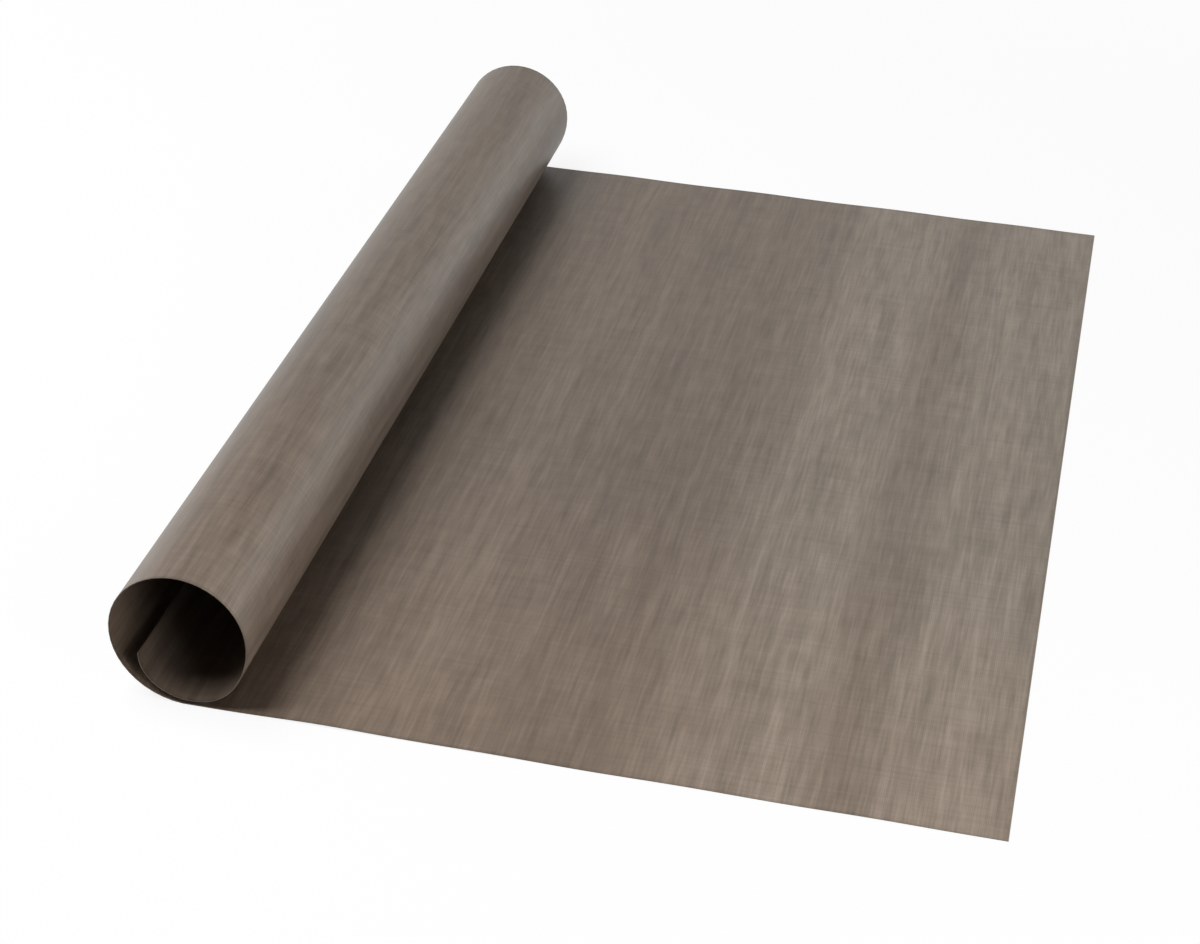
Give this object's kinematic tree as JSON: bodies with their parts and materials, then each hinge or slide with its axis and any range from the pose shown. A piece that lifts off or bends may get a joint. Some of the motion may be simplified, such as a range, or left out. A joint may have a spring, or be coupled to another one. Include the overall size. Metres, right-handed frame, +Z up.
{
  "type": "baking mat",
  "caption": "Thin flexible non-stick baking mat of coated glass cloth, lying flat with one end wound into a loose open tube that unrolls.",
  "frame": {"origin": "middle of the underside of the whole mat as it lies, on the bench", "axes": "+Z up, +Y along the roll away from its near end, +X from the roll towards the free edge of the flat part"},
  "size_m": [0.265, 0.4, 0.0443],
  "materials": {
    "coat": "satin taupe brown non-stick coat with a fine woven grain",
    "cloth": "plain woven glass yarn"
  },
  "bodies": {
    "flat": {"coat_flat": "coat", "cloth_flat": "cloth"},
    "strip_01": {"coat_strip_01": "coat", "cloth_strip_01": "cloth"},
    "strip_02": {"coat_strip_02": "coat", "cloth_strip_02": "cloth"},
    "strip_03": {"coat_strip_03": "coat", "cloth_strip_03": "cloth"},
    "strip_04": {"coat_strip_04": "coat", "cloth_strip_04": "cloth"},
    "strip_05": {"coat_strip_05": "coat", "cloth_strip_05": "cloth"},
    "strip_06": {"coat_strip_06": "coat", "cloth_strip_06": "cloth"},
    "strip_07": {"coat_strip_07": "coat", "cloth_strip_07": "cloth"},
    "strip_08": {"coat_strip_08": "coat", "cloth_strip_08": "cloth"},
    "strip_09": {"coat_strip_09": "coat", "cloth_strip_09": "cloth"},
    "strip_10": {"coat_strip_10": "coat", "cloth_strip_10": "cloth"},
    "strip_11": {"coat_strip_11": "coat", "cloth_strip_11": "cloth"},
    "strip_12": {"coat_strip_12": "coat", "cloth_strip_12": "cloth"},
    "strip_13": {"coat_strip_13": "coat", "cloth_strip_13": "cloth"},
    "strip_14": {"coat_strip_14": "coat", "cloth_strip_14": "cloth"},
    "strip_15": {"coat_strip_15": "coat", "cloth_strip_15": "cloth"},
    "strip_16": {"coat_strip_16": "coat", "cloth_strip_16": "cloth"},
    "strip_17": {"coat_strip_17": "coat", "cloth_strip_17": "cloth"},
    "strip_18": {"coat_strip_18": "coat", "cloth_strip_18": "cloth"},
    "strip_19": {"coat_strip_19": "coat", "cloth_strip_19": "cloth"},
    "strip_20": {"coat_strip_20": "coat", "cloth_strip_20": "cloth"},
    "strip_21": {"coat_strip_21": "coat", "cloth_strip_21": "cloth"},
    "strip_22": {"coat_strip_22": "coat", "cloth_strip_22": "cloth"},
    "strip_23": {"coat_strip_23": "coat", "cloth_strip_23": "cloth"},
    "strip_24": {"coat_strip_24": "coat", "cloth_strip_24": "cloth"},
    "strip_25": {"coat_strip_25": "coat", "cloth_strip_25": "cloth"},
    "strip_26": {"coat_strip_26": "coat", "cloth_strip_26": "cloth"},
    "strip_27": {"coat_strip_27": "coat", "cloth_strip_27": "cloth"},
    "strip_28": {"coat_strip_28": "coat", "cloth_strip_28": "cloth"},
    "strip_29": {"coat_strip_29": "coat", "cloth_strip_29": "cloth"}
  },
  "joints": [
    {"name": "unroll", "type": "hinge", "parent": "flat", "child": "strip_01", "pos_m": [-0.11219, 0, 0.00013], "axis": [0, -1, 0], "range_deg": [0, 15.17]},
    {"name": "bend_02", "type": "hinge", "parent": "strip_01", "child": "strip_02", "pos_m": [-0.11834, 0, 0.00179], "axis": [0, -1, 0], "range_deg": [0, 15.17]},
    {"name": "bend_03", "type": "hinge", "parent": "strip_02", "child": "strip_03", "pos_m": [-0.12374, 0, 0.00495], "axis": [0, -1, 0], "range_deg": [0, 15.17]},
    {"name": "bend_04", "type": "hinge", "parent": "strip_03", "child": "strip_04", "pos_m": [-0.12804, 0, 0.00933], "axis": [0, -1, 0], "range_deg": [0, 15.17]},
    {"name": "bend_05", "type": "hinge", "parent": "strip_04", "child": "strip_05", "pos_m": [-0.13098, 0, 0.01458], "axis": [0, -1, 0], "range_deg": [0, 15.17]},
    {"name": "bend_06", "type": "hinge", "parent": "strip_05", "child": "strip_06", "pos_m": [-0.13243, 0, 0.0203], "axis": [0, -1, 0], "range_deg": [0, 15.17]},
    {"name": "bend_07", "type": "hinge", "parent": "strip_06", "child": "strip_07", "pos_m": [-0.13232, 0, 0.02609], "axis": [0, -1, 0], "range_deg": [0, 15.17]},
    {"name": "bend_08", "type": "hinge", "parent": "strip_07", "child": "strip_08", "pos_m": [-0.13074, 0, 0.03153], "axis": [0, -1, 0], "range_deg": [0, 15.17]},
    {"name": "bend_09", "type": "hinge", "parent": "strip_08", "child": "strip_09", "pos_m": [-0.1278, 0, 0.03635], "axis": [0, -1, 0], "range_deg": [0, 15.17]},
    {"name": "bend_10", "type": "hinge", "parent": "strip_09", "child": "strip_10", "pos_m": [-0.1237, 0, 0.04023], "axis": [0, -1, 0], "range_deg": [0, 15.17]},
    {"name": "bend_11", "type": "hinge", "parent": "strip_10", "child": "strip_11", "pos_m": [-0.11874, 0, 0.0429], "axis": [0, -1, 0], "range_deg": [0, 15.17]},
    {"name": "bend_12", "type": "hinge", "parent": "strip_11", "child": "strip_12", "pos_m": [-0.11326, 0, 0.04418], "axis": [0, -1, 0], "range_deg": [0, 15.17]},
    {"name": "bend_13", "type": "hinge", "parent": "strip_12", "child": "strip_13", "pos_m": [-0.10765, 0, 0.04397], "axis": [0, -1, 0], "range_deg": [0, 15.17]},
    {"name": "bend_14", "type": "hinge", "parent": "strip_13", "child": "strip_14", "pos_m": [-0.10229, 0, 0.04231], "axis": [0, -1, 0], "range_deg": [0, 15.17]},
    {"name": "bend_15", "type": "hinge", "parent": "strip_14", "child": "strip_15", "pos_m": [-0.09756, 0, 0.03931], "axis": [0, -1, 0], "range_deg": [0, 15.17]},
    {"name": "bend_16", "type": "hinge", "parent": "strip_15", "child": "strip_16", "pos_m": [-0.09379, 0, 0.03518], "axis": [0, -1, 0], "range_deg": [0, 15.17]},
    {"name": "bend_17", "type": "hinge", "parent": "strip_16", "child": "strip_17", "pos_m": [-0.09124, 0, 0.03022], "axis": [0, -1, 0], "range_deg": [0, 15.17]},
    {"name": "bend_18", "type": "hinge", "parent": "strip_17", "child": "strip_18", "pos_m": [-0.09007, 0, 0.02477], "axis": [0, -1, 0], "range_deg": [0, 15.17]},
    {"name": "bend_19", "type": "hinge", "parent": "strip_18", "child": "strip_19", "pos_m": [-0.09043, 0, 0.01816], "axis": [0, -1, 0], "range_deg": [0, 15.17]},
    {"name": "bend_20", "type": "hinge", "parent": "strip_19", "child": "strip_20", "pos_m": [-0.09262, 0, 0.01153], "axis": [0, -1, 0], "range_deg": [0, 15.17]},
    {"name": "bend_21", "type": "hinge", "parent": "strip_20", "child": "strip_21", "pos_m": [-0.09576, 0, 0.00678], "axis": [0, -1, 0], "range_deg": [0, 15.17]},
    {"name": "bend_22", "type": "hinge", "parent": "strip_21", "child": "strip_22", "pos_m": [-0.09888, 0, 0.00403], "axis": [0, -1, 0], "range_deg": [0, 15.17]},
    {"name": "bend_23", "type": "hinge", "parent": "strip_22", "child": "strip_23", "pos_m": [-0.10238, 0, 0.00231], "axis": [0, -1, 0], "range_deg": [0, 15.17]},
    {"name": "bend_24", "type": "hinge", "parent": "strip_23", "child": "strip_24", "pos_m": [-0.10719, 0, 0.00137], "axis": [0, -1, 0], "range_deg": [0, 15.17]},
    {"name": "bend_25", "type": "hinge", "parent": "strip_24", "child": "strip_25", "pos_m": [-0.11182, 0, 0.0017], "axis": [0, -1, 0], "range_deg": [0, 15.17]},
    {"name": "bend_26", "type": "hinge", "parent": "strip_25", "child": "strip_26", "pos_m": [-0.11598, 0, 0.00316], "axis": [0, -1, 0], "range_deg": [0, 15.17]},
    {"name": "bend_27", "type": "hinge", "parent": "strip_26", "child": "strip_27", "pos_m": [-0.11941, 0, 0.00552], "axis": [0, -1, 0], "range_deg": [0, 15.17]},
    {"name": "bend_28", "type": "hinge", "parent": "strip_27", "child": "strip_28", "pos_m": [-0.12198, 0, 0.00855], "axis": [0, -1, 0], "range_deg": [0, 15.17]},
    {"name": "bend_29", "type": "hinge", "parent": "strip_28", "child": "strip_29", "pos_m": [-0.12361, 0, 0.012], "axis": [0, -1, 0], "range_deg": [0, 15.17]}
  ],
  "couplings": [
    {"joint": "bend_02", "follows": "unroll", "ratio": 1},
    {"joint": "bend_03", "follows": "unroll", "ratio": 1},
    {"joint": "bend_04", "follows": "unroll", "ratio": 1},
    {"joint": "bend_05", "follows": "unroll", "ratio": 1},
    {"joint": "bend_06", "follows": "unroll", "ratio": 1},
    {"joint": "bend_07", "follows": "unroll", "ratio": 1},
    {"joint": "bend_08", "follows": "unroll", "ratio": 1},
    {"joint": "bend_09", "follows": "unroll", "ratio": 1},
    {"joint": "bend_10", "follows": "unroll", "ratio": 1},
    {"joint": "bend_11", "follows": "unroll", "ratio": 1},
    {"joint": "bend_12", "follows": "unroll", "ratio": 1},
    {"joint": "bend_13", "follows": "unroll", "ratio": 1},
    {"joint": "bend_14", "follows": "unroll", "ratio": 1},
    {"joint": "bend_15", "follows": "unroll", "ratio": 1},
    {"joint": "bend_16", "follows": "unroll", "ratio": 1},
    {"joint": "bend_17", "follows": "unroll", "ratio": 1},
    {"joint": "bend_18", "follows": "unroll", "ratio": 1},
    {"joint": "bend_19", "follows": "unroll", "ratio": 1},
    {"joint": "bend_20", "follows": "unroll", "ratio": 1},
    {"joint": "bend_21", "follows": "unroll", "ratio": 1},
    {"joint": "bend_22", "follows": "unroll", "ratio": 1},
    {"joint": "bend_23", "follows": "unroll", "ratio": 1},
    {"joint": "bend_24", "follows": "unroll", "ratio": 1},
    {"joint": "bend_25", "follows": "unroll", "ratio": 1},
    {"joint": "bend_26", "follows": "unroll", "ratio": 1},
    {"joint": "bend_27", "follows": "unroll", "ratio": 1},
    {"joint": "bend_28", "follows": "unroll", "ratio": 1},
    {"joint": "bend_29", "follows": "unroll", "ratio": 1}
  ]
}
